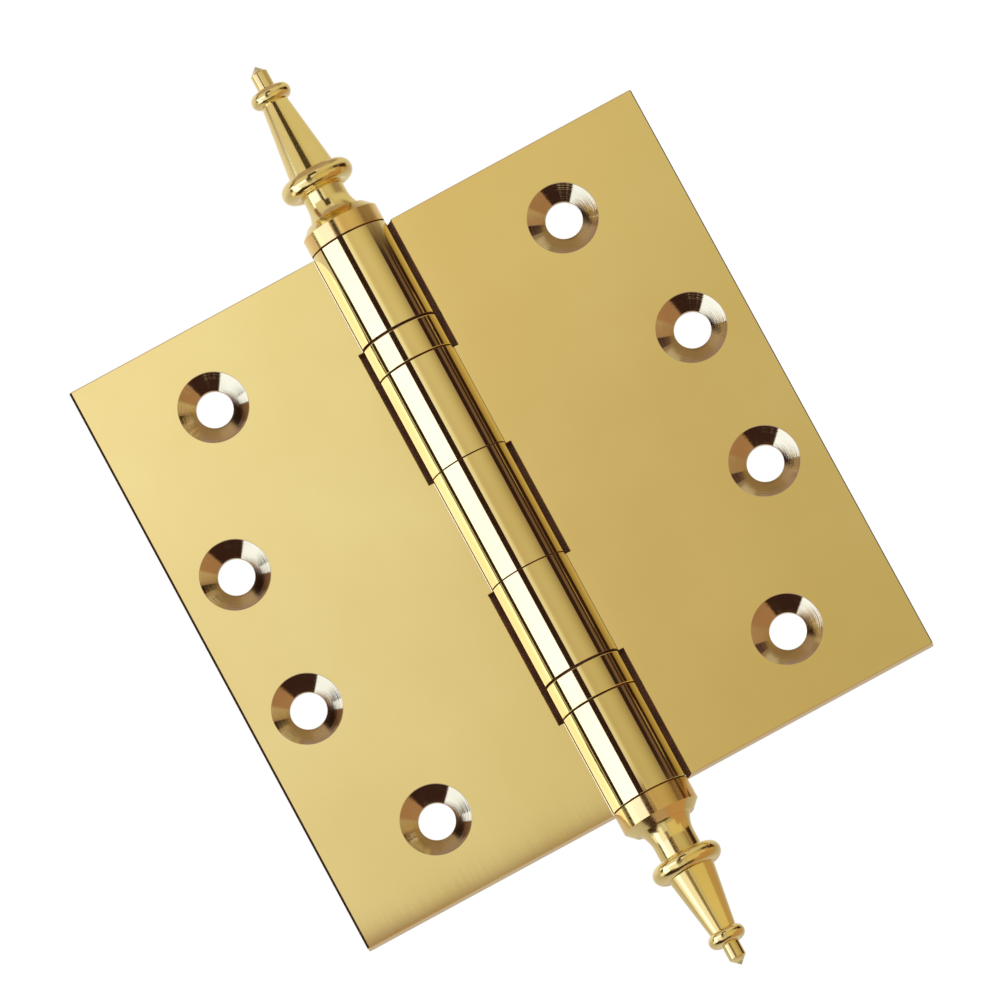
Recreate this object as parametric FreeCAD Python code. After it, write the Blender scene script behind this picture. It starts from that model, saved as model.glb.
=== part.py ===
import FreeCAD, Part
import math
import os

# Ball bearing butt hinge, open flat. Millimetres.
# Z runs along the pin and points up, the origin is on the pin at mid height.
# The countersunk faces look towards -Y, the frame leaf is at -X, the door leaf at +X.

# Leaves
leaf_height = 101.6
leaf_reach = 50.8            # pin axis to the outer edge of a leaf
leaf_thickness = 3.3
face_behind_pin = 0.8        # half of the gap between the faces when the hinge is closed
edge_rounding = 0.3          # along the outer edges of a leaf
barrel_diameter = 13.0
front_root_radius = 0.6      # where the face runs into a knuckle
back_root_radius = 1.5       # where the back runs into a knuckle
notch_relief = 0.95          # slot between a leaf and the other leaf's knuckles

# Lengths along the pin
end_knuckle_length = 16.9
bearing_height = 6.1
inner_knuckle_length = 17.75
seam_gap = 0.12              # between two knuckles that meet

# Screw holes, for flat head screws
screw_hole_diameter = 6.0
countersink_diameter = 11.43
countersink_angle = 100.0
outer_hole_from_pin = 31.6
outer_hole_spacing = 75.4
inner_hole_from_pin = 41.2
inner_hole_spacing = 24.5

# Pin
pin_diameter = 6.35
pin_clearance = 0.05         # radial, in every knuckle
pin_end_setback = 0.2        # from the end of the barrel to the end of the pin
pin_end_chamfer = 0.3

# Shanks that screw into the pin
shank_diameter = 3.9
shank_length = 8.0
shank_clearance = 0.05       # radial, taken up by the thread
shank_end_room = 1.5         # from the end of a shank to the bottom of its hole
shank_end_chamfer = 0.4

# Bearings
shell_wall = 0.8
shell_rounding = 0.2
shell_gap = 0.12             # between a shell and the knuckle above it
race_shell_clearance = 0.05  # radial
race_pin_clearance = 0.15    # radial
ball_diameter = 1.5875
ball_count = 12
ball_clearance = 0.05        # around a ball in its grooves and its pocket
groove_depth = 0.4
cage_thickness = 0.5
cage_side_clearance = 0.2    # radial, to the shell and to the pin

# Finials, each with its own lengths and beads
top_collar_height = 3.1
top_neck_length = 5.05
top_ring_diameter = 12.3
top_spire_length = 12.9
top_bead_diameter = 6.8
top_tip_length = 3.1
bottom_collar_height = 3.75
bottom_neck_length = 5.8
bottom_ring_diameter = 11.8
bottom_spire_length = 10.6
bottom_bead_diameter = 6.2
bottom_tip_length = 2.6

# Finials, shared by both
collar_bevel = 1.4
collar_seat_chamfer = 0.2
neck_foot_diameter = 8.8
neck_diameter = 7.0
neck_hollow = 3.0            # height of the hollow curve above the collar
ring_thickness = 2.9
spire_foot_diameter = 7.8
spire_top_diameter = 4.4
bead_thickness = 2.3
tip_diameter = 2.85
tip_cone_height = 1.35

# Worked out from the sizes above
barrel_radius = barrel_diameter / 2
pin_radius = pin_diameter / 2
ball_radius = ball_diameter / 2
leaf_top = leaf_height / 2
face_y = face_behind_pin
back_y = face_behind_pin + leaf_thickness
notch_radius = barrel_radius + notch_relief
bearing_top = leaf_top - end_knuckle_length
bearing_bottom = bearing_top - bearing_height
middle_seam = bearing_bottom - inner_knuckle_length
middle_top = middle_seam - seam_gap / 2
inner_bottom = middle_seam + seam_gap / 2

origin = FreeCAD.Vector(0, 0, 0)
along_x = FreeCAD.Vector(1, 0, 0)
along_y = FreeCAD.Vector(0, 1, 0)
along_z = FreeCAD.Vector(0, 0, 1)


def save(shape, name):
    shape.exportStep("parts/" + name + ".step")


def at(x, y, z=0.0):
    return FreeCAD.Vector(x, y, z)


def line(first, last):
    return Part.LineSegment(first, last).toShape()


def arc(first, middle, last):
    return Part.Arc(first, middle, last).toShape()


def corner_arc(first, centre, last):
    # Short arc about centre from first to last.
    towards = (first - centre) + (last - centre)
    radius = (first - centre).Length
    return arc(first, centre + towards.normalize() * radius, last)


def upright_ring(outer_radius, inner_radius, bottom, top):
    outer = Part.makeCylinder(outer_radius, top - bottom, at(0, 0, bottom))
    return outer.cut(Part.makeCylinder(inner_radius, top - bottom, at(0, 0, bottom)))


def turned(edges):
    # Solid of revolution about Z from edges drawn in the XZ plane.
    return Part.Face(Part.Wire(edges)).revolve(origin, along_z, 360)


def knuckle(bottom, top):
    # Barrel and root of one knuckle, drawn across the pin and drawn out along it.
    front_centre_y = face_y - front_root_radius
    front_reach = barrel_radius + front_root_radius
    front_centre = at(-math.sqrt(front_reach ** 2 - front_centre_y ** 2), front_centre_y, bottom)
    front_on_face = at(front_centre.x, face_y, bottom)
    front_share = barrel_radius / front_reach
    front_on_barrel = at(front_centre.x * front_share, front_centre.y * front_share, bottom)

    back_centre_y = back_y + back_root_radius
    back_reach = barrel_radius + back_root_radius
    back_centre = at(-math.sqrt(back_reach ** 2 - back_centre_y ** 2), back_centre_y, bottom)
    back_on_leaf = at(back_centre.x, back_y, bottom)
    back_share = barrel_radius / back_reach
    back_on_barrel = at(back_centre.x * back_share, back_centre.y * back_share, bottom)

    root_x = -notch_radius - leaf_thickness
    edges = [
        line(at(root_x, back_y, bottom), at(root_x, face_y, bottom)),
        line(at(root_x, face_y, bottom), front_on_face),
        corner_arc(front_on_face, front_centre, front_on_barrel),
        arc(front_on_barrel, at(barrel_radius, 0, bottom), back_on_barrel),
        corner_arc(back_on_barrel, back_centre, back_on_leaf),
        line(back_on_leaf, at(root_x, back_y, bottom)),
    ]
    return Part.Face(Part.Wire(edges)).extrude(at(0, 0, top - bottom))


def leaf_plate():
    # The inner edge is hollowed to run round the other leaf's knuckles.
    plate = Part.makeBox(leaf_reach, leaf_thickness, leaf_height, at(-leaf_reach, face_y, -leaf_top))
    outer_edges = [edge for edge in plate.Edges if edge.BoundBox.XMin < -notch_radius]
    plate = plate.makeFillet(edge_rounding, outer_edges)
    return plate.cut(Part.makeCylinder(notch_radius, leaf_height, at(0, 0, -leaf_top)))


def screw_hole(from_pin, height):
    hole_radius = screw_hole_diameter / 2
    slope = math.tan(math.radians(countersink_angle / 2))
    above_face = leaf_thickness
    cone_radius = countersink_diameter / 2 + above_face * slope
    cone_length = (cone_radius - hole_radius) / slope
    shaft_length = above_face + leaf_thickness + above_face
    start = at(-from_pin, face_y - above_face, height)
    cone = Part.makeCone(cone_radius, hole_radius, cone_length, start, along_y)
    shaft = Part.makeCylinder(hole_radius, shaft_length, start, along_y)
    return cone.fuse(shaft)


def leaf(knuckle_spans):
    body = leaf_plate()
    for bottom, top in knuckle_spans:
        body = body.fuse(knuckle(bottom, top))
    bore = Part.makeCylinder(pin_radius + pin_clearance, leaf_height, at(0, 0, -leaf_top))
    body = body.cut(bore)
    for side in (-1, 1):
        body = body.cut(screw_hole(outer_hole_from_pin, side * outer_hole_spacing / 2))
        body = body.cut(screw_hole(inner_hole_from_pin, side * inner_hole_spacing / 2))
    return body.removeSplitter().Solids[0]


def hinge_pin():
    half_length = leaf_top - pin_end_setback
    pin = Part.makeCylinder(pin_radius, 2 * half_length, at(0, 0, -half_length))
    rims = [edge for edge in pin.Edges if len(edge.Vertexes) == 1]
    pin = pin.makeChamfer(pin_end_chamfer, rims)
    hole_radius = shank_diameter / 2 + shank_clearance
    hole_depth = shank_length + shank_end_room - pin_end_setback
    for direction in (1, -1):
        hole = Part.makeCylinder(hole_radius, hole_depth, at(0, 0, direction * half_length), along_z * -direction)
        pin = pin.cut(hole)
    return pin


def finial(collar_height, neck_length, ring_diameter, spire_length, bead_diameter, tip_length):
    # Stands on z = 0 with its shank below.
    shank_radius = shank_diameter / 2
    neck_radius = neck_diameter / 2
    spire_top_radius = spire_top_diameter / 2
    tip_radius = tip_diameter / 2
    collar_top = collar_height + collar_bevel
    hollow_top = collar_top + neck_hollow
    ring_bottom = collar_top + neck_length
    ring_top = ring_bottom + ring_thickness
    bead_bottom = ring_top + spire_length
    bead_top = bead_bottom + bead_thickness
    tip_top = bead_top + tip_length

    flare = neck_foot_diameter / 2 - neck_radius
    hollow_radius = (flare ** 2 + neck_hollow ** 2) / (2 * flare)
    hollow_dip = hollow_radius - math.sqrt(hollow_radius ** 2 - (neck_hollow / 2) ** 2)

    outline = [
        at(0, 0, -shank_length),
        at(shank_radius - shank_end_chamfer, 0, -shank_length),
        at(shank_radius, 0, -shank_length + shank_end_chamfer),
        at(shank_radius, 0, 0),
        at(barrel_radius - collar_seat_chamfer, 0, 0),
        at(barrel_radius, 0, collar_seat_chamfer),
        at(barrel_radius, 0, collar_height),
        at(barrel_radius - collar_bevel, 0, collar_top),
        at(neck_foot_diameter / 2, 0, collar_top),
    ]
    edges = [line(first, last) for first, last in zip(outline, outline[1:])]
    hollow_middle = at(neck_radius + hollow_dip, 0, hollow_top - neck_hollow / 2)
    ring_foot = at(neck_radius, 0, ring_bottom)
    spire_foot = at(spire_foot_diameter / 2, 0, ring_top)
    spire_end = at(spire_top_radius, 0, bead_bottom)
    tip_foot = at(tip_radius, 0, bead_top)
    tip_end = at(tip_radius, 0, tip_top)
    point = at(0, 0, tip_top + tip_cone_height)
    edges += [
        arc(outline[-1], hollow_middle, at(neck_radius, 0, hollow_top)),
        line(at(neck_radius, 0, hollow_top), ring_foot),
        arc(ring_foot, at(ring_diameter / 2, 0, (ring_bottom + ring_top) / 2), spire_foot),
        line(spire_foot, spire_end),
        arc(spire_end, at(bead_diameter / 2, 0, (bead_bottom + bead_top) / 2), tip_foot),
        line(tip_foot, tip_end),
        line(tip_end, point),
        line(point, outline[0]),
    ]
    return turned(edges)


def bearing_shell(bottom):
    inner_radius = barrel_radius - shell_wall
    shell = upright_ring(barrel_radius, inner_radius, bottom, bottom + bearing_height - shell_gap)
    rims = []
    for edge in shell.Edges:
        if len(edge.Vertexes) == 1 and edge.Curve.Radius > barrel_radius - shell_wall / 2:
            rims.append(edge)
    return shell.makeFillet(shell_rounding, rims)


# Race and cage sizes follow from the room between the pin and the shell.
race_outer_radius = barrel_radius - shell_wall - race_shell_clearance
race_inner_radius = pin_radius + race_pin_clearance
orbit_radius = (race_outer_radius + race_inner_radius) / 2
groove_radius = ball_radius + ball_clearance
race_face = ball_radius - groove_depth


def bearing_race(bottom, top, ball_height):
    race = upright_ring(race_outer_radius, race_inner_radius, bottom, top)
    return race.cut(Part.makeTorus(orbit_radius, groove_radius, at(0, 0, ball_height)))


def ball_place(number, ball_height):
    angle = math.radians(360.0 * number / ball_count)
    return at(orbit_radius * math.cos(angle), orbit_radius * math.sin(angle), ball_height)


def bearing_cage(ball_height):
    cage_bottom = ball_height - cage_thickness / 2
    inner_radius = pin_radius + cage_side_clearance
    outer_radius = barrel_radius - shell_wall - cage_side_clearance
    cage = upright_ring(outer_radius, inner_radius, cage_bottom, cage_bottom + cage_thickness)
    for number in range(ball_count):
        pocket = Part.makeCylinder(groove_radius, cage_thickness, ball_place(number, cage_bottom))
        cage = cage.cut(pocket)
    return cage


def save_bearing(name, bottom):
    top = bottom + bearing_height
    ball_height = bottom + bearing_height / 2
    save(bearing_shell(bottom), name + "_shell")
    save(bearing_race(bottom, ball_height - race_face, ball_height), name + "_lower_race")
    save(bearing_race(ball_height + race_face, top, ball_height), name + "_upper_race")
    save(bearing_cage(ball_height), name + "_cage")
    for number in range(ball_count):
        ball = Part.makeSphere(ball_radius, ball_place(number, ball_height))
        save(ball, "%s_ball_%02d" % (name, number + 1))


os.makedirs("parts", exist_ok=True)

frame_spans = [(bearing_top, leaf_top), (-middle_top, middle_top), (-leaf_top, -bearing_top)]
door_spans = [(inner_bottom, bearing_bottom), (-bearing_bottom, -inner_bottom)]
save(leaf(frame_spans), "frame_leaf")
save(leaf(door_spans).mirror(origin, along_x), "door_leaf")
save(hinge_pin(), "hinge_pin")

top_finial = finial(
    top_collar_height,
    top_neck_length,
    top_ring_diameter,
    top_spire_length,
    top_bead_diameter,
    top_tip_length,
)
top_finial.translate(at(0, 0, leaf_top))
save(top_finial, "top_finial")

bottom_finial = finial(
    bottom_collar_height,
    bottom_neck_length,
    bottom_ring_diameter,
    bottom_spire_length,
    bottom_bead_diameter,
    bottom_tip_length,
)
bottom_finial.rotate(origin, along_x, 180)
bottom_finial.translate(at(0, 0, -leaf_top))
save(bottom_finial, "bottom_finial")

save_bearing("top_bearing", bearing_bottom)
save_bearing("bottom_bearing", -bearing_top)
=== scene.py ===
import bmesh
import bpy
import math
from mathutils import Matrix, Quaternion, Vector


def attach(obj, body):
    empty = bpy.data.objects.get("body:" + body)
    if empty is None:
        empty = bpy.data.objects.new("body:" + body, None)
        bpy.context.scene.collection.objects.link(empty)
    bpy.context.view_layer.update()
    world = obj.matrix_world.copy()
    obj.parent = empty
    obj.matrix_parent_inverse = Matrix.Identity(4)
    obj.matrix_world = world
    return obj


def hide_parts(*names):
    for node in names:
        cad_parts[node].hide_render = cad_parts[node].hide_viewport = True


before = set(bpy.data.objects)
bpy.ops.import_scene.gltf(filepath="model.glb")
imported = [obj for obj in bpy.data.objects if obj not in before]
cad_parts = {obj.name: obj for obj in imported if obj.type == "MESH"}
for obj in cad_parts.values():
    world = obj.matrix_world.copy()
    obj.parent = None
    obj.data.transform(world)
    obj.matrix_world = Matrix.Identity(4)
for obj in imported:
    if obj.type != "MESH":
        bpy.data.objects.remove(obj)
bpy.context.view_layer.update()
scene = bpy.context.scene
millimetre = 0.001
print("frame loaded,", len(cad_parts), "nodes")


# node helpers, shared by the finishes, the surround and the shape trees

def addNode(tree, kind, **settings):
    node = tree.nodes.new(kind)
    for name, value in settings.items():
        setattr(node, name, value)
    return node


def feed(tree, socket, value):
    if isinstance(value, bpy.types.NodeSocket):
        tree.links.new(value, socket)
    else:
        socket.default_value = value


def maths(tree, operation, first, second=0.0):
    node = addNode(tree, "ShaderNodeMath", operation=operation)
    feed(tree, node.inputs[0], first)
    feed(tree, node.inputs[1], second)
    return node.outputs[0]


def spread(tree, value, source, target, smooth=False):
    # value from the source range to the target range, held at its ends
    node = addNode(tree, "ShaderNodeMapRange")
    node.interpolation_type = "SMOOTHSTEP" if smooth else "LINEAR"
    node.inputs["From Min"].default_value, node.inputs["From Max"].default_value = source
    node.inputs["To Min"].default_value, node.inputs["To Max"].default_value = target
    feed(tree, node.inputs["Value"], value)
    return node.outputs["Result"]


def mixColours(tree, factor, first, second):
    node = addNode(tree, "ShaderNodeMix", data_type="RGBA")
    feed(tree, node.inputs["Factor"], factor)
    feed(tree, node.inputs[6], first)  # 6, 7 and 2 are the node's colour sockets
    feed(tree, node.inputs[7], second)
    return node.outputs[2]


def colourBand(tree, value, stops, low, high):
    # stops are (place, colour) with places between low and high
    node = addNode(tree, "ShaderNodeValToRGB")
    elements = node.color_ramp.elements
    while len(elements) < len(stops):
        elements.new(0.5)
    for element, (place, colour) in zip(elements, stops):
        element.position = (place - low) / (high - low)
        element.color = (*colour, 1.0)
    feed(tree, node.inputs["Fac"], spread(tree, value, (low, high), (0.0, 1.0)))
    return node.outputs["Color"]


# metal finishes: clouds tint the colour, ripples bend the reflections, marks are the tool's fine lines

polishedBrassLook = {
    "bright": (0.905, 0.77, 0.42), "deep": (0.875, 0.73, 0.375), "roughness": (0.05, 0.062),
    "cloudSize": 0.022, "rippleSize": 0.016, "rippleDepth": 6.0e-6,
    "markScale": (2600, 2600, 90), "markDepth": 2.0e-8,
}
turnedBrassLook = {
    "bright": (0.89, 0.755, 0.40), "deep": (0.84, 0.69, 0.335), "roughness": (0.12, 0.17),
    "cloudSize": 0.012, "rippleSize": 0.006, "rippleDepth": 2.0e-6,
    "markScale": (60, 60, 4200), "markDepth": 4.0e-7,
}
satinBrassLook = {
    "bright": (0.90, 0.67, 0.31), "deep": (0.84, 0.60, 0.26), "roughness": (0.12, 0.17),
    "cloudSize": 0.010, "rippleSize": 0.006, "rippleDepth": 1.5e-6,
    "markScale": (60, 60, 3800), "markDepth": 8.0e-7,
}
shellBrassLook = {
    "bright": (0.905, 0.765, 0.41), "deep": (0.87, 0.72, 0.36), "roughness": (0.05, 0.08),
    "cloudSize": 0.012, "rippleSize": 0.009, "rippleDepth": 2.0e-6,
    "markScale": (80, 80, 3600), "markDepth": 1.0e-7,
}
# painted shade: seams, notches and grooves get a dark, dull, non-metallic brown in place of the shadow that
# falls in the gaps
seamShadeLook = {
    "bright": (0.20, 0.078, 0.030), "deep": (0.11, 0.040, 0.016), "roughness": (0.45, 0.6),
    "metallic": 0.0, "specular": 0.03,  # painted shade: dull and dark, standing in for the shadow in the gaps
    "cloudSize": 0.003, "rippleSize": 0.002, "rippleDepth": 1.0e-6,
    "markScale": (2400, 2400, 2400), "markDepth": 6.0e-7,
}
countersunkBrassLook = {
    "bright": (0.67, 0.545, 0.41), "deep": (0.60, 0.49, 0.36), "roughness": (0.06, 0.10),
    "cloudSize": 0.006, "rippleSize": 0.004, "rippleDepth": 1.5e-6,
    "markAttribute": "turnRadius", "markScale": 5200, "markDepth": 8.0e-6,
}
cageBrassLook = {
    "bright": (0.80, 0.64, 0.30), "deep": (0.68, 0.51, 0.22), "roughness": (0.24, 0.38),
    "cloudSize": 0.004, "rippleSize": 0.003, "rippleDepth": 2.0e-6,
    "markScale": (2200, 2200, 300), "markDepth": 6.0e-7,
}
pinSteelLook = {
    "bright": (0.63, 0.63, 0.64), "deep": (0.54, 0.54, 0.55), "roughness": (0.20, 0.32),
    "cloudSize": 0.010, "rippleSize": 0.006, "rippleDepth": 1.0e-6,
    "markScale": (120, 120, 5200), "markDepth": 6.0e-7,
}
bearingSteelLook = {
    "bright": (0.75, 0.76, 0.78), "deep": (0.68, 0.69, 0.71), "roughness": (0.06, 0.12),
    "cloudSize": 0.004, "rippleSize": 0.003, "rippleDepth": 4.0e-7,
    "markScale": (150, 150, 4800), "markDepth": 2.0e-7,
}
finishDetail = {  # alike for every finish
    "cloudDetail": 4.0, "cloudRange": (0.35, 0.65), "rippleDetail": 1.0,
    "markDetail": 3.0, "markRange": (0.3, 0.7),
}


def noise(tree, place, scale, detail):
    node = addNode(tree, "ShaderNodeTexNoise")
    node.inputs["Scale"].default_value = scale
    node.inputs["Detail"].default_value = detail
    feed(tree, node.inputs["Vector"], place)
    return node.outputs["Fac"]


def bump(tree, height, depth, under=None):
    node = addNode(tree, "ShaderNodeBump")
    node.inputs["Distance"].default_value = depth
    feed(tree, node.inputs["Height"], height)
    if under:
        feed(tree, node.inputs["Normal"], under)
    return node.outputs["Normal"]


def toolMarks(tree, look, place):
    if "markAttribute" in look:
        rings = addNode(tree, "ShaderNodeTexNoise", noise_dimensions="1D")
        rings.inputs["Scale"].default_value = look["markScale"]
        rings.inputs["Detail"].default_value = finishDetail["markDetail"]
        along = addNode(tree, "ShaderNodeAttribute", attribute_name=look["markAttribute"])
        feed(tree, rings.inputs["W"], along.outputs["Fac"])
        return rings.outputs["Fac"]
    drawn = addNode(tree, "ShaderNodeMapping")
    drawn.inputs["Scale"].default_value = look["markScale"]
    feed(tree, drawn.inputs["Vector"], place)
    return noise(tree, drawn.outputs["Vector"], 1.0, finishDetail["markDetail"])


def metalFinish(name, look):
    material = bpy.data.materials.new(name)
    material.use_nodes = True
    tree = material.node_tree
    metal = tree.nodes["Principled BSDF"]
    metal.inputs["Metallic"].default_value = look.get("metallic", 1.0)
    metal.inputs["Specular IOR Level"].default_value = look.get("specular", 0.5)
    place = addNode(tree, "ShaderNodeTexCoord").outputs["Object"]
    cloudy = noise(tree, place, 1.0 / look["cloudSize"], finishDetail["cloudDetail"])
    clouds = spread(tree, cloudy, finishDetail["cloudRange"], (0.0, 1.0))
    tint = mixColours(tree, clouds, (*look["bright"], 1.0), (*look["deep"], 1.0))
    feed(tree, metal.inputs["Base Color"], tint)
    marks = toolMarks(tree, look, place)
    feed(tree, metal.inputs["Roughness"], spread(tree, marks, finishDetail["markRange"], look["roughness"]))
    wavy = noise(tree, place, 1.0 / look["rippleSize"], finishDetail["rippleDetail"])
    ripples = bump(tree, wavy, look["rippleDepth"])
    feed(tree, metal.inputs["Normal"], bump(tree, marks, look["markDepth"], ripples))
    return material


polishedBrass = metalFinish("polishedBrass", polishedBrassLook)
turnedBrass = metalFinish("turnedBrass", turnedBrassLook)
satinBrass = metalFinish("satinBrass", satinBrassLook)
shellBrass = metalFinish("shellBrass", shellBrassLook)
# painted shade: the dark seam finish for gaps and grooves
seamShadeBrass = metalFinish("seamShadeBrass", seamShadeLook)
countersunkBrass = metalFinish("countersunkBrass", countersunkBrassLook)
cageBrass = metalFinish("cageBrass", cageBrassLook)
pinSteel = metalFinish("pinSteel", pinSteelLook)
bearingSteel = metalFinish("bearingSteel", bearingSteelLook)
print("finishes made")


# mesh helpers

def newPiece(name, mesh):
    piece = bpy.data.objects.new(name, mesh)
    scene.collection.objects.link(piece)
    return piece


def settle(piece):
    # what the modifiers give becomes the piece's own mesh
    evaluated = piece.evaluated_get(bpy.context.evaluated_depsgraph_get())
    settled = bpy.data.meshes.new_from_object(evaluated)
    settled.name = piece.name
    piece.modifiers.clear()
    piece.data = settled


def faceOutwards(mesh):
    shape = bmesh.new()
    shape.from_mesh(mesh)
    bmesh.ops.recalc_face_normals(shape, faces=shape.faces)
    openEdges = sum(1 for edge in shape.edges if not edge.is_manifold)
    shape.to_mesh(mesh)
    shape.free()
    print(mesh.name, len(mesh.polygons), "faces,", openEdges, "open edges")


def shade(piece, sharpAngle):
    # sharp edges stay sharp, and flat or straight walls keep straight reflections
    faceOutwards(piece.data)
    piece.data.set_sharp_from_angle(angle=math.radians(sharpAngle))
    straight = piece.modifiers.new("straight", "WEIGHTED_NORMAL")
    straight.keep_sharp = True
    settle(piece)


def dress(piece, body, slotName, *nodes):
    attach(piece, body)
    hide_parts(*nodes)


# leaves, in millimetres: flat plate, rolled knuckles, hollowed notches, countersunk holes

leafSizes = {
    "reach": 50.8, "halfHeight": 50.8, "faceY": 0.8, "backY": 4.1, "rootX": 10.75,
    "barrelRadius": 6.5, "boreRadius": 3.225, "notchRadius": 7.45,
    "frontRootRadius": 0.2, "backRootRadius": 1.5,
    "holes": {37.7: 31.6, 12.25: 41.2, -12.25: 41.2, -37.7: 31.6},  # height: distance from the pin
    "countersinkRadius": 5.715, "holeRadius": 3.0, "countersinkAngle": 100.0,
    "rimChamfer": 0.14, "fineChamfer": 0.06, "sharpAngle": 30.0, "slack": 0.01,
    "barrelSteps": 240, "rootSteps": 24, "notchSteps": 24, "boreSteps": 96, "holeSteps": 128,
}
frameLeafSizes = {"knuckles": [(-50.8, -33.9), (-9.99, 9.99), (33.9, 50.8)], "outerChamfer": 0.38}
doorLeafSizes = {"knuckles": [(-27.8, -10.11), (10.11, 27.8)], "outerChamfer": 0.14}
polished, countersunk, darkened = 0, 1, 2  # finishes of a leaf's faces; darkened is painted shade on the notch walls and the knuckle ends beside them
weldDigits = 4  # points that agree to this many decimals share a vert


def arcPoints(x, y, radius, start, end, steps):
    points = []
    for step in range(steps + 1):
        angle = start + (end - start) * step / steps
        points.append((x + radius * math.cos(angle), y + radius * math.sin(angle)))
    return points


def knuckleOutline(s):
    # across the pin, from the face round the front of the barrel to the back
    frontY = s["faceY"] - s["frontRootRadius"]
    frontX = math.sqrt((s["barrelRadius"] + s["frontRootRadius"]) ** 2 - frontY ** 2)
    backY = s["backY"] + s["backRootRadius"]
    backX = math.sqrt((s["barrelRadius"] + s["backRootRadius"]) ** 2 - backY ** 2)
    frontTurn = math.atan2(frontY, frontX)
    backTurn = math.atan2(backY, backX)
    half, full = math.pi, 2 * math.pi
    front = arcPoints(frontX, frontY, s["frontRootRadius"], half / 2, half + frontTurn, s["rootSteps"])
    barrel = arcPoints(0, 0, s["barrelRadius"], frontTurn, backTurn - full, s["barrelSteps"])
    back = arcPoints(backX, backY, s["backRootRadius"], half + backTurn, half * 1.5, s["rootSteps"])
    return front + barrel[1:] + back[1:]


def notchOutline(s):
    # hollow edge beside the other leaf's knuckles, from the face to the back
    faceTurn = math.asin(s["faceY"] / s["notchRadius"])
    backTurn = math.asin(s["backY"] / s["notchRadius"])
    return arcPoints(0, 0, s["notchRadius"], faceTurn, backTurn, s["notchSteps"])


class LeafShape:
    # faces are drawn for a leaf at +X; side -1 mirrors them to -X
    def __init__(self, side):
        self.side = side
        self.shape = bmesh.new()
        self.turnRadius = self.shape.verts.layers.float.new("turnRadius")
        self.bevelWeight = self.shape.edges.layers.float.new("bevel_weight_edge")
        self.known = {}

    def vert(self, point):
        key = tuple(round(value, weldDigits) for value in point)
        if key not in self.known:
            x, y, z = point
            self.known[key] = self.shape.verts.new(Vector((self.side * x, y, z)) * millimetre)
        return self.known[key]

    def face(self, points, finish=polished):
        verts = list(dict.fromkeys(self.vert(point) for point in points))
        if self.side < 0:
            verts.reverse()
        made = self.shape.faces.new(verts)
        made.material_index = finish
        made.smooth = True

    def strip(self, first, second, finish=polished):
        for here, there, thereNext, hereNext in zip(first, second, second[1:], first[1:]):
            self.face([here, there, thereNext, hereNext], finish)

    def cap(self, outline, z, up, finish=polished):
        points = [(x, y, z) for x, y in outline]
        self.face(points[::-1] if up else points, finish)


def leafSpans(s):
    # (low, high, is it a knuckle) up the inner edge, cut at every knuckle end and hole
    levels = {-s["halfHeight"], s["halfHeight"], *s["holes"]}
    for span in s["knuckles"]:
        levels.update(span)
    levels = sorted(levels)
    spans = []
    for low, high in zip(levels, levels[1:]):
        isKnuckle = any(bottom <= low and high <= top for bottom, top in s["knuckles"])
        spans.append((low, high, isKnuckle))
    return spans


def innerEdges(leaf, s, spans, rolled, hollow):
    bore = arcPoints(0, 0, s["boreRadius"], 0, 2 * math.pi, s["boreSteps"])
    for low, high, isKnuckle in spans:
        # notch walls take the darkened finish: painted shade in the gap
        outline, finish = (rolled, polished) if isKnuckle else (hollow, darkened)
        leaf.strip([(x, y, low) for x, y in outline], [(x, y, high) for x, y in outline], finish)
        if isKnuckle:
            leaf.strip([(x, y, low) for x, y in bore], [(x, y, high) for x, y in bore])

    # end faces, each knuckle's split in two at its bore
    plate = [(s["rootX"], s["backY"]), (s["reach"], s["backY"]),
             (s["reach"], s["faceY"]), (s["rootX"], s["faceY"])]
    start = s["rootSteps"]
    far = start + s["barrelSteps"] // 2
    turn = s["boreSteps"] // 2
    frontHalf = rolled[start:far + 1] + bore[turn:]

    def knuckleEnd(z, up, rest, finish):
        leaf.cap(frontHalf, z, up, finish)
        leaf.cap(rolled[far:] + rest + rolled[:start + 1] + bore[:turn + 1], z, up, finish)

    bottomSpan, topSpan = spans[0], spans[-1]
    for z, up, isKnuckle in ((bottomSpan[0], False, bottomSpan[2]), (topSpan[1], True, topSpan[2])):
        if isKnuckle:
            knuckleEnd(z, up, plate, polished)
        else:
            leaf.cap(hollow + plate, z, up)
    for below, above in zip(spans, spans[1:]):
        if below[2] != above[2]:
            knuckleEnd(above[0], below[2], hollow[::-1], darkened)


def flatSides(leaf, s, spans, rolled, hollow):
    # face and back in bands between the hole heights, so that each is one simple outline
    bands = [-s["halfHeight"], *sorted(s["holes"]), s["halfHeight"]]
    sides = ((s["faceY"], rolled[0][0], hollow[0][0], s["countersinkRadius"], False),
             (s["backY"], rolled[-1][0], hollow[-1][0], s["holeRadius"], True))
    for y, knuckleX, notchX, radius, isBack in sides:
        for low, high in zip(bands, bands[1:]):
            points = []
            if low in s["holes"]:
                points += arcPoints(s["holes"][low], low, radius, math.pi, 0, s["holeSteps"] // 2)
            else:
                points.append((s["rootX"], low))
            points += [(s["reach"], low), (s["reach"], high)]
            if high in s["holes"]:
                points += arcPoints(s["holes"][high], high, radius, 0, -math.pi, s["holeSteps"] // 2)
            else:
                points.append((s["rootX"], high))
            for bottom, top, isKnuckle in reversed(spans):
                if low <= bottom and top <= high:
                    x = knuckleX if isKnuckle else notchX
                    points += [(x, top), (x, bottom)]
            outline = [(x, y, z) for x, z in points]
            leaf.face(outline[::-1] if isBack else outline)
    for low, high in zip(bands, bands[1:]):
        leaf.strip([(s["reach"], s["backY"], low), (s["reach"], s["faceY"], low)],
                   [(s["reach"], s["backY"], high), (s["reach"], s["faceY"], high)])


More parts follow.
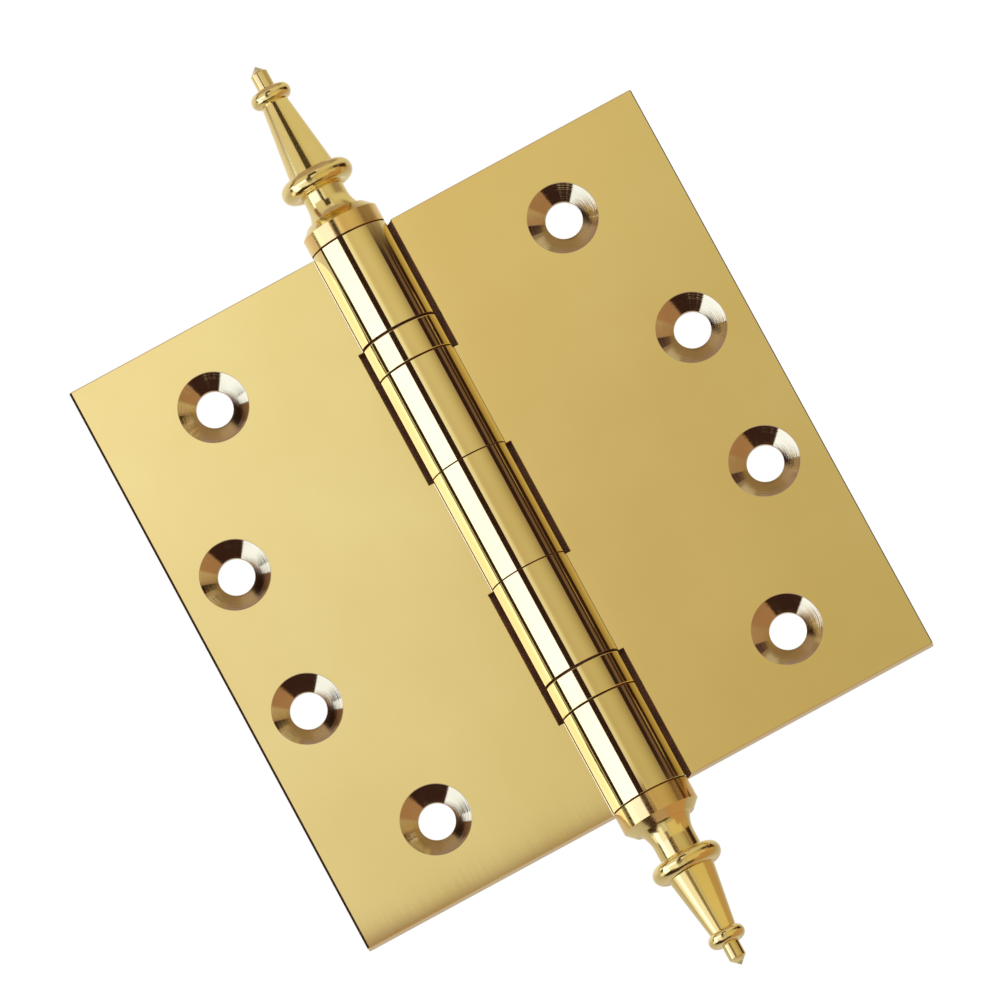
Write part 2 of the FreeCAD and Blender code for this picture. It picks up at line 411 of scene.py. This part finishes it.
def screwHoles(leaf, s):
    slope = math.tan(math.radians(s["countersinkAngle"] / 2))
    landY = s["faceY"] + (s["countersinkRadius"] - s["holeRadius"]) / slope
    levels = [(s["countersinkRadius"], s["faceY"]), (s["holeRadius"], landY), (s["holeRadius"], s["backY"])]
    for height, fromPin in s["holes"].items():
        rings = []
        for radius, y in levels:
            ring = arcPoints(fromPin, height, radius, 0, 2 * math.pi, s["holeSteps"])
            rings.append([(x, y, z) for x, z in ring])
            for point in rings[-1]:
                leaf.vert(point)[leaf.turnRadius] = radius * millimetre
        for outer, inner in zip(rings, rings[1:]):
            leaf.strip(outer, inner, countersunk)


def weighEdges(leaf, s):
    # the outer edge of the face has its own chamfer, the rim another, every other sharp edge a fine one
    def beyond(edge, x):
        return all(abs(vert.co.x) > (x - s["slack"]) * millimetre for vert in edge.verts)

    for edge in leaf.shape.edges:
        if edge.calc_face_angle_signed(0.0) < math.radians(s["sharpAngle"]):
            continue
        plain = all(face.material_index == polished for face in edge.link_faces)
        onFace = all(vert.co.y < (s["faceY"] + s["slack"]) * millimetre for vert in edge.verts)
        width = s["fineChamfer"]
        if plain and beyond(edge, s["rootX"]):
            width = s["outerChamfer"] if onFace and beyond(edge, s["reach"]) else s["rimChamfer"]
        edge[leaf.bevelWeight] = width / s["outerChamfer"]


def leafPiece(name, side, sizes):
    s = {**leafSizes, **sizes}
    rolled = knuckleOutline(s)
    hollow = notchOutline(s)
    spans = leafSpans(s)
    leaf = LeafShape(side)
    innerEdges(leaf, s, spans, rolled, hollow)
    flatSides(leaf, s, spans, rolled, hollow)
    screwHoles(leaf, s)
    bmesh.ops.recalc_face_normals(leaf.shape, faces=leaf.shape.faces)
    weighEdges(leaf, s)
    mesh = bpy.data.meshes.new(name)
    leaf.shape.to_mesh(mesh)
    leaf.shape.free()
    for finish in (polishedBrass, countersunkBrass, seamShadeBrass):
        mesh.materials.append(finish)
    piece = newPiece(name, mesh)
    chamfers = piece.modifiers.new("chamfers", "BEVEL")
    chamfers.limit_method = "WEIGHT"
    chamfers.width = s["outerChamfer"] * millimetre
    chamfers.segments = 1
    chamfers.use_clamp_overlap = False
    settle(piece)
    shade(piece, s["sharpAngle"])
    return piece


frameLeaf = leafPiece("frameLeaf", -1, frameLeafSizes)
doorLeaf = leafPiece("doorLeaf", 1, doorLeafSizes)
dress(frameLeaf, "frame", "polished_brass", "frame_leaf")
dress(doorLeaf, "door", "polished_brass", "door_leaf")
print("leaves made")


# shape trees: Geometry Nodes with named sizes

weldDistance = 1.0e-6  # metres
sharpAngles = {"finial": 24.0, "shell": 40.0, "balls": 60.0}  # degrees, where a steeper edge stays sharp


class ShapeTree:
    def __init__(self, name, sizes):
        self.tree = bpy.data.node_groups.new(name, "GeometryNodeTree")
        for key, value in sizes.items():
            kind = "NodeSocketInt" if isinstance(value, int) else "NodeSocketFloat"
            self.tree.interface.new_socket(key, in_out="INPUT", socket_type=kind)
        self.tree.interface.new_socket("Geometry", in_out="OUTPUT", socket_type="NodeSocketGeometry")
        self.given = addNode(self.tree, "NodeGroupInput").outputs

    def make(self, kind, inputs, output=0, **settings):
        node = addNode(self.tree, kind, **settings)
        for name, value in inputs.items():
            feed(self.tree, node.inputs[name], value)
        return node.outputs[output]

    def add(self, *values):
        total = values[0]
        for value in values[1:]:
            total = maths(self.tree, "ADD", total, value)
        return total

    def less(self, first, second):
        return maths(self.tree, "SUBTRACT", first, second)

    def times(self, first, second):
        return maths(self.tree, "MULTIPLY", first, second)

    def half(self, value):
        return self.times(value, 0.5)

    def join(self, parts):
        node = addNode(self.tree, "GeometryNodeJoinGeometry")
        for part in parts:
            feed(self.tree, node.inputs["Geometry"], part)
        return node.outputs["Geometry"]

    def finish(self, geometry, material, *zones):
        # zones are (selection, material) pairs laid over the main finish
        smooth = self.make("GeometryNodeSetShadeSmooth", {"Geometry": geometry})
        real = self.make("GeometryNodeRealizeInstances", {"Geometry": smooth})
        finished = self.make("GeometryNodeSetMaterial", {"Geometry": real, "Material": material})
        for selection, other in zones:
            finished = self.make("GeometryNodeSetMaterial", {
                "Geometry": finished, "Selection": selection, "Material": other})
        feed(self.tree, addNode(self.tree, "NodeGroupOutput").inputs["Geometry"], finished)


class TurnedTree(ShapeTree):
    # a profile of (radius, height) points, swept round the pin as on a lathe
    def point(self, radius, height):
        z = self.add(self.given["seat"], self.times(height, self.given["direction"]))
        return self.make("ShaderNodeCombineXYZ", {
            "X": self.less(radius, self.given["sweepRadius"]), "Y": self.times(z, -1.0), "Z": 0.0})

    def line(self, first, last):
        return self.make("GeometryNodeCurvePrimitiveLine", {"Start": first, "End": last})

    def arc(self, first, middle, last):
        return self.make("GeometryNodeCurveArc", {
            "Resolution": self.given["arcSteps"],
            "Start": first, "Middle": middle, "End": last}, mode="POINTS")

    def lowerThan(self, height):
        place = self.make("GeometryNodeInputPosition", {})
        z = self.make("ShaderNodeSeparateXYZ", {"Vector": place}, "Z")
        above = self.times(self.less(z, self.given["seat"]), self.given["direction"])
        return self.make("FunctionNodeCompare", {"A": above, "B": height}, operation="LESS_THAN")

    def closerThan(self, radius):
        place = self.make("GeometryNodeInputPosition", {})
        flat = self.make("ShaderNodeVectorMath", {0: place, 1: (1.0, 1.0, 0.0)}, operation="MULTIPLY")
        fromPin = self.make("ShaderNodeVectorMath", {0: flat}, "Value", operation="LENGTH")
        return self.make("FunctionNodeCompare", {"A": fromPin, "B": radius}, operation="LESS_THAN")

    def turn(self, edges, material, *zones):
        circle = self.make("GeometryNodeCurvePrimitiveCircle", {
            "Resolution": self.given["turnSteps"], "Radius": self.given["sweepRadius"]})
        swept = self.make("GeometryNodeCurveToMesh", {"Curve": circle, "Profile Curve": self.join(edges)})
        welded = self.make("GeometryNodeMergeByDistance", {"Geometry": swept, "Distance": weldDistance})
        self.finish(welded, material, *zones)


def madeBy(shapeTree, name, sizes, sharpAngle):
    piece = newPiece(name, bpy.data.meshes.new(name))
    modifier = piece.modifiers.new("shape", "NODES")
    modifier.node_group = shapeTree.tree
    for item in shapeTree.tree.interface.items_tree:
        if item.in_out == "INPUT":
            modifier[item.identifier] = sizes[item.name]
    settle(piece)
    shade(piece, sharpAngle)
    return piece


def inMetres(sizes, *plain):
    # lengths from millimetres; counts and the plain numbers stay
    return {key: value if isinstance(value, int) or key in plain else value * millimetre
            for key, value in sizes.items()}


# finials: collar, hollow neck, ring, spire, bead and pointed tip, with the shank inside the pin

finialSizes = {
    "sweepRadius": 10.0, "turnSteps": 160, "arcSteps": 24,
    "barrelDiameter": 13.0, "collarBevel": 1.4, "seatGroove": 0.22, "grooveDepth": 0.5, "rimRounding": 0.06,
    "neckFootDiameter": 8.8, "neckDiameter": 7.0, "neckHollow": 3.0, "ringThickness": 2.9,
    "spireFootDiameter": 7.8, "spireTopDiameter": 4.4, "beadThickness": 2.3,
    "tipDiameter": 2.85, "tipCone": 1.35,
    "shankDiameter": 3.9, "shankLength": 8.0, "shankChamfer": 0.4, "overlap": 0.01,
}
topFinialSizes = {
    "seat": 50.8, "direction": 1.0, "collarHeight": 3.1, "neckLength": 5.05, "ringDiameter": 12.3,
    "spireLength": 12.9, "beadDiameter": 6.8, "tipLength": 3.1,
}
bottomFinialSizes = {
    "seat": -50.8, "direction": -1.0, "collarHeight": 3.75, "neckLength": 5.8, "ringDiameter": 11.8,
    "spireLength": 10.6, "beadDiameter": 6.2, "tipLength": 2.6,
}


def finialTree(sizes):
    t = TurnedTree("finialShape", sizes)
    g = t.given
    barrel, shank, neck = t.half(g["barrelDiameter"]), t.half(g["shankDiameter"]), t.half(g["neckDiameter"])
    seatRadius = t.less(barrel, g["grooveDepth"])
    neckFoot, tip = t.half(g["neckFootDiameter"]), t.half(g["tipDiameter"])
    collarTop = t.add(g["collarHeight"], g["collarBevel"])
    ringBottom = t.add(collarTop, g["neckLength"])
    ringTop = t.add(ringBottom, g["ringThickness"])
    beadBottom = t.add(ringTop, g["spireLength"])
    beadTop = t.add(beadBottom, g["beadThickness"])
    tipTop = t.add(beadTop, g["tipLength"])
    shankEnd = t.times(g["shankLength"], -1.0)

    # the hollow of the neck is an arc that ends upright
    flare = t.less(neckFoot, neck)
    flareSquare, hollowSquare = t.times(flare, flare), t.times(g["neckHollow"], g["neckHollow"])
    hollowRadius = maths(t.tree, "DIVIDE", t.add(flareSquare, hollowSquare), t.add(flare, flare))
    reach = maths(t.tree, "SQRT", t.less(t.times(hollowRadius, hollowRadius), t.times(hollowSquare, 0.25)))
    middleRadius = t.add(neck, t.less(hollowRadius, reach))
    hollowMiddle = t.point(middleRadius, t.add(collarTop, t.half(g["neckHollow"])))
    hollowTop = t.point(neck, t.add(collarTop, g["neckHollow"]))

    turnings = [
        t.point(0.0, shankEnd),
        t.point(t.less(shank, g["shankChamfer"]), shankEnd),
        t.point(shank, t.add(shankEnd, g["shankChamfer"])),
        t.point(shank, 0.0),
        t.point(seatRadius, 0.0),
        t.point(seatRadius, g["seatGroove"]),
        t.point(t.less(barrel, g["rimRounding"]), g["seatGroove"]),
        t.point(barrel, t.add(g["seatGroove"], g["rimRounding"])),
        t.point(barrel, g["collarHeight"]),
        t.point(t.less(barrel, g["collarBevel"]), collarTop),
        t.point(neckFoot, collarTop),
    ]
    ringFoot = t.point(neck, ringBottom)
    spireFoot = t.point(t.half(g["spireFootDiameter"]), ringTop)
    spireTop = t.point(t.half(g["spireTopDiameter"]), beadBottom)
    tipFoot, tipEnd = t.point(tip, beadTop), t.point(tip, tipTop)
    edges = [t.line(first, last) for first, last in zip(turnings, turnings[1:])]
    edges += [
        t.arc(turnings[-1], hollowMiddle, hollowTop),
        t.line(hollowTop, ringFoot),
        t.arc(ringFoot, t.point(t.half(g["ringDiameter"]), t.half(t.add(ringBottom, ringTop))), spireFoot),
        t.line(spireFoot, spireTop),
        t.arc(spireTop, t.point(t.half(g["beadDiameter"]), t.half(t.add(beadBottom, beadTop))), tipFoot),
        t.line(tipFoot, tipEnd),
        t.line(tipEnd, t.point(0.0, t.add(tipTop, g["tipCone"]))),
    ]
    # painted shade: the seat groove takes the dark seam finish
    collar = t.lowerThan(g["collarHeight"])
    groove = t.lowerThan(t.add(g["seatGroove"], g["overlap"]))
    t.turn(edges, turnedBrass, (collar, satinBrass), (groove, seamShadeBrass))
    return t


finialShape = finialTree({**finialSizes, **topFinialSizes})
for name, node, sizes in (("topFinial", "top_finial", topFinialSizes),
                          ("bottomFinial", "bottom_finial", bottomFinialSizes)):
    lengths = inMetres({**finialSizes, **sizes}, "direction")
    finial = madeBy(finialShape, name, lengths, sharpAngles["finial"])
    dress(finial, "frame", "turned_brass", node)
print("finials made")


# bearing shells: rings with a seam turned into the outer rim of each end, its faces painted dark as shade

shellSizes = {
    "sweepRadius": 10.0, "turnSteps": 240, "arcSteps": 8, "direction": 1.0,
    "outerRadius": 6.5, "wall": 0.8, "height": 5.98, "rounding": 0.16, "seamHeight": 0.22, "seamDepth": 0.5,
    "overlap": 0.01,
}
shellSeats = {"topBearingShell": 27.8, "bottomBearingShell": -33.9}


def shellTree(sizes):
    t = TurnedTree("shellShape", sizes)
    g = t.given
    outer = g["outerRadius"]
    inner = t.less(outer, g["wall"])
    seam = t.less(outer, g["seamDepth"])
    rimDip = t.times(g["rounding"], 1.0 - math.sqrt(0.5))  # middle of the rounded rim
    steps = [(inner, 0.0), (seam, 0.0), (seam, g["seamHeight"]),
             (t.less(outer, g["rounding"]), g["seamHeight"]),
             (t.less(outer, rimDip), t.add(g["seamHeight"], rimDip)),
             (outer, t.add(g["seamHeight"], g["rounding"]))]
    below = [t.point(radius, height) for radius, height in steps]
    above = [t.point(radius, t.less(g["height"], height)) for radius, height in steps]
    edges = [t.line(below[0], above[0]), t.line(below[-1], above[-1])]
    for end in (below, above):
        edges += [t.line(first, last) for first, last in zip(end[:3], end[1:4])]
        edges.append(t.arc(*end[3:]))
    # painted shade: the seams take the dark seam finish
    seams = t.closerThan(t.less(outer, t.add(g["rounding"], g["overlap"])))
    t.turn(edges, shellBrass, (seams, seamShadeBrass))
    return t


shellShape = shellTree({**shellSizes, "seat": 0.0})
for name, node, body in (("topBearingShell", "top_bearing_shell", "door"),
                         ("bottomBearingShell", "bottom_bearing_shell", "frame")):
    lengths = inMetres({**shellSizes, "seat": shellSeats[name]}, "direction")
    shell = madeBy(shellShape, name, lengths, sharpAngles["shell"])
    dress(shell, body, "shell_brass", node)
print("bearing shells made")


# balls: one ring of them in each cage

ballSizes = {"ballCount": 12, "orbitRadius": 4.4875, "ballRadius": 0.79375, "segments": 32, "rings": 16}
ballHeights = {"top": 30.85, "bottom": -30.85}


def ballTree(sizes):
    t = ShapeTree("ballRing", sizes)
    g = t.given
    orbit = t.make("GeometryNodeMeshCircle", {"Vertices": g["ballCount"], "Radius": g["orbitRadius"]})
    ball = t.make("GeometryNodeMeshUVSphere", {
        "Segments": g["segments"], "Rings": g["rings"], "Radius": g["ballRadius"]})
    ring = t.make("GeometryNodeInstanceOnPoints", {"Points": orbit, "Instance": ball})
    lift = t.make("ShaderNodeCombineXYZ", {"X": 0.0, "Y": 0.0, "Z": g["height"]})
    t.finish(t.make("GeometryNodeTransform", {"Geometry": ring, "Translation": lift}), bearingSteel)
    return t


ballRing = ballTree({**ballSizes, "height": 0.0})
for end, height in ballHeights.items():
    lengths = inMetres({**ballSizes, "height": height})
    balls = madeBy(ballRing, end + "BearingBalls", lengths, sharpAngles["balls"])
    ballNodes = ["%s_bearing_ball_%02d" % (end, number + 1) for number in range(ballSizes["ballCount"])]
    dress(balls, end + "_cage", "bearing_steel", *ballNodes)
print("balls made")


# pieces that keep their CAD shape

keptFinishes = {"hinge_pin": pinSteel}
for bearing in ("top_bearing", "bottom_bearing"):
    keptFinishes[bearing + "_lower_race"] = bearingSteel
    keptFinishes[bearing + "_upper_race"] = bearingSteel
    keptFinishes[bearing + "_cage"] = cageBrass
for node, finish in keptFinishes.items():
    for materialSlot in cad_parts[node].material_slots:
        materialSlot.material = finish
print("kept nodes finished:", len(keptFinishes))


# floor and light: a pale floor, soft light from above, and a round surround that only reflections see

floorLook = {
    "height": -0.47, "size": 14.0, "pale": (0.90, 0.90, 0.89), "shade": (0.86, 0.86, 0.85),
    "patch": 0.6, "patchDetail": 3.0, "patchRange": (0.3, 0.7), "roughness": (0.6, 0.75),
}
softLight = {"height": 2.2, "size": 3.0, "power": 14.0}
studioWhite = (1.0, 1.0, 1.0, 1.0)
darkFlag = (0.032, 0.015, 0.012)  # glows of the surround's flags, panels and walls
umberFlag = (0.054, 0.024, 0.016)
whitePanel = (1.5, 1.8, 2.05)
barrelPanel = (1.5, 1.55, 2.1)
creamPanel = (1.08, 1.04, 0.95)
warmWall = (0.54, 0.31, 0.135)
goldWall = (0.75, 0.61, 0.27)
backWall = (0.55, 0.46, 0.37)
surroundLook = {
    "radius": 0.42, "segments": 128, "rings": 64,
    # round the part in degrees, 0 in front, negative towards the frame leaf
    "horizon": [
        (-180, (0.88, 0.82, 0.74)), (-130, (0.80, 0.76, 0.66)), (-100, (0.68, 0.60, 0.46)),
        (-81, (0.75, 0.68, 0.48)), (-27, (0.75, 0.68, 0.48)), (-10, (0.94, 0.905, 0.745)),
        (-1.5, (0.84, 0.81, 0.61)), (1.5, (0.70, 0.60, 0.36)), (9, (0.625, 0.55, 0.325)),
        (17, (0.66, 0.575, 0.345)), (30, (0.66, 0.58, 0.345)), (43, (0.60, 0.525, 0.28)),
        (56, (0.48, 0.40, 0.22)), (66, (0.36, 0.27, 0.16)), (100, (0.42, 0.32, 0.18)),
        (135, (0.65, 0.58, 0.46)), (180, (0.88, 0.82, 0.74)),
    ],
    # tint by height, in degrees above the horizon
    "rise": [
        (-90, (0.75, 0.75, 0.75)), (-10, (0.80, 0.78, 0.72)), (2, (0.885, 0.85, 0.775)),
        (10, (0.985, 0.96, 0.96)), (18, (1.10, 1.09, 1.085)), (40, (1.05, 1.05, 1.05)),
        (90, (0.9, 0.9, 0.9)),
    ],
    "leanAbove": 18.0, "lean": 0.75,  # higher up, the horizon's colours lean towards the door leaf
    # (turn, rise, glow, softness) laid over it in this order
    "patches": [
        ((-100, -57), (-77, -34), umberFlag, 0.6),  # low and dark, seen by the countersinks
        ((-60, -48), (-77, -44), umberFlag, 0.6),
        ((-50, -41), (-77, -51), umberFlag, 0.6),
        ((-42, 41), (-77, -57), umberFlag, 0.6),
        ((41, 125), (-77, -50), warmWall, 2.0),  # warm wall beside the door leaf
        ((48, 125), (-55, -25), warmWall, 2.0),
        ((4, 74), (-26, -3), goldWall, 4.0),
        ((4, 52), (-47, -24), goldWall, 3.0),
        ((74, 125), (-26, 1.5), (0.56, 0.36, 0.16), 3.0),
        ((-98, -76), (31, 64), (0.27, 0.15, 0.07), 1.0),  # above the white panel
        ((-190, 190), (58, 95), (0.48, 0.36, 0.28), 3.0),  # overhead, then underneath
        ((-190, 190), (-95, -77), (0.52, 0.36, 0.22), 1.0),
        ((-92.5, -81.5), (-2, 19), darkFlag, 0.5),  # dark bands down both sides of the barrel
        ((66, 118), (1.5, 17.5), darkFlag, 0.6),
        ((86, 120), (-7, 2), darkFlag, 1.0),
        ((79.5, 89.5), (1.5, 17.5), (0.17, 0.10, 0.065), 1.0),
        ((-13, -0.7), (-5, 2.04), (0.19, 0.05, 0.01), 0.1),  # darker ground before the frame leaf
        ((-26, -8.6), (-27, -1), (0.29, 0.205, 0.095), 1.0),  # stripes of the finials and barrel
        ((-26.5, -10.5), (-1, 18.5), darkFlag, 0.5),
        ((-22, -9.3), (18.3, 28), darkFlag, 0.6),
        ((-19, 13), (27, 50), (0.06, 0.038, 0.016), 2.0),
        ((28, 150), (25, 46), (0.74, 0.66, 0.40), 4.0),
        ((170, 190), (-20, -14), backWall, 1.0),  # behind the leaves, seen by their lower edges
        ((-190, -170), (-20, -14), backWall, 1.0),
        ((-100, -80), (-27, -8), creamPanel, 1.0),  # tall panels beside the frame leaf
        ((-62, -27), (-33, 4), creamPanel, 0.6),
        ((-46, -27), (-46, -32), creamPanel, 3.0),
        ((-81, -60), (-33, 4), whitePanel, 0.6),
        ((-81, -70), (0.5, 22), whitePanel, 0.6),
        ((-71, -27), (0.5, 22), barrelPanel, 0.6),
        ((-84.5, -74), (17, 31), whitePanel, 0.6),
    ],
}


def within(tree, value, span, softness):
    low, high = span
    opened = spread(tree, value, (low - softness, low + softness), (0.0, 1.0), True)
    closed = spread(tree, value, (high - softness, high + softness), (1.0, 0.0), True)
    return maths(tree, "MULTIPLY", opened, closed)


def surroundGlow(look):
    material = bpy.data.materials.new("surroundGlow")
    material.use_nodes = True
    material.cycles.emission_sampling = "NONE"
    tree = material.node_tree
    tree.nodes.remove(tree.nodes["Principled BSDF"])
    axes = addNode(tree, "ShaderNodeSeparateXYZ")
    feed(tree, axes.inputs[0], addNode(tree, "ShaderNodeTexCoord").outputs["Object"])
    ahead = maths(tree, "MULTIPLY", axes.outputs["Y"], -1.0)
    turn = maths(tree, "DEGREES", maths(tree, "ARCTAN2", axes.outputs["X"], ahead))
    sine = maths(tree, "DIVIDE", axes.outputs["Z"], look["radius"])
    rise = maths(tree, "DEGREES", maths(tree, "ARCSINE", sine))
    leaning = spread(tree, rise, (look["leanAbove"], 90), (0, (90 - look["leanAbove"]) * look["lean"]))
    horizon = colourBand(tree, maths(tree, "SUBTRACT", turn, leaning), look["horizon"], -180, 180)
    height = colourBand(tree, rise, look["rise"], -90, 90)
    shaded = addNode(tree, "ShaderNodeVectorMath", operation="MULTIPLY")
    feed(tree, shaded.inputs[0], horizon)
    feed(tree, shaded.inputs[1], height)
    glow = shaded.outputs[0]
    for turnSpan, riseSpan, colour, softness in look["patches"]:
        across = within(tree, turn, turnSpan, softness)
        upward = within(tree, rise, riseSpan, softness)
        glow = mixColours(tree, maths(tree, "MULTIPLY", across, upward), glow, (*colour, 1.0))
    emission = addNode(tree, "ShaderNodeEmission")
    feed(tree, emission.inputs["Color"], glow)
    feed(tree, tree.nodes["Material Output"].inputs["Surface"], emission.outputs[0])
    return material


def paleFloor(look):
    material = bpy.data.materials.new("paleFloor")
    material.use_nodes = True
    tree = material.node_tree
    paint = tree.nodes["Principled BSDF"]
    place = addNode(tree, "ShaderNodeTexCoord").outputs["Object"]
    patches = noise(tree, place, 1.0 / look["patch"], look["patchDetail"])
    tone = mixColours(tree, patches, (*look["pale"], 1.0), (*look["shade"], 1.0))
    feed(tree, paint.inputs["Base Color"], tone)
    feed(tree, paint.inputs["Roughness"], spread(tree, patches, look["patchRange"], look["roughness"]))
    return material


floorMesh = bpy.data.meshes.new("floor")
far = floorLook["size"] / 2
floorCorners = [(x, y, floorLook["height"]) for x, y in ((-far, -far), (far, -far), (far, far), (-far, far))]
floorMesh.from_pydata(floorCorners, [], [(0, 1, 2, 3)])
floorMesh.materials.append(paleFloor(floorLook))
floor = newPiece("floor", floorMesh)

roundMesh = bpy.data.meshes.new("surround")
roundShape = bmesh.new()
bmesh.ops.create_uvsphere(roundShape, u_segments=surroundLook["segments"], v_segments=surroundLook["rings"],
                          radius=surroundLook["radius"])
roundShape.to_mesh(roundMesh)
roundShape.free()
roundMesh.materials.append(surroundGlow(surroundLook))
surround = newPiece("surround", roundMesh)
surround.visible_camera = False
surround.visible_diffuse = False
surround.visible_transmission = False
surround.visible_shadow = False

lightData = bpy.data.lights.new("softLight", "AREA")
lightData.shape = "DISK"
lightData.size = softLight["size"]
lightData.energy = softLight["power"]
overhead = bpy.data.objects.new("softLight", lightData)
overhead.location = (0.0, 0.0, softLight["height"])
overhead.visible_glossy = False
scene.collection.objects.link(overhead)

world = bpy.data.worlds.new("studio")
world.use_nodes = True
world.node_tree.nodes["Background"].inputs["Color"].default_value = studioWhite
scene.world = world
world.cycles_visibility.glossy = False
scene.view_settings.view_transform = "Standard"
print("stage set")


# camera, looking a little up at the open hinge, rolled as in the photo

cameraSetting = {
    "turn": -0.107, "rise": -10.005, "roll": -28.48, "distance": 2.5572,
    "aim": (0.001459, 0.0008, 0.002377), "lens": 579.8, "sensor": 36.0, "farClip": 60.0,
}
turn, rise = math.radians(cameraSetting["turn"]), math.radians(cameraSetting["rise"])
towards = Vector((math.sin(turn) * math.cos(rise), -math.cos(turn) * math.cos(rise), math.sin(rise)))
cameraData = bpy.data.cameras.new("photoCamera")
cameraData.lens = cameraSetting["lens"]
cameraData.sensor_width = cameraSetting["sensor"]
cameraData.clip_end = cameraSetting["farClip"]
camera = bpy.data.objects.new("photoCamera", cameraData)
camera.location = Vector(cameraSetting["aim"]) + towards * cameraSetting["distance"]
upright = (-towards).to_track_quat("-Z", "Y")
camera.rotation_mode = "QUATERNION"
camera.rotation_quaternion = upright @ Quaternion((0, 0, 1), math.radians(cameraSetting["roll"]))
scene.collection.objects.link(camera)
scene.camera = camera
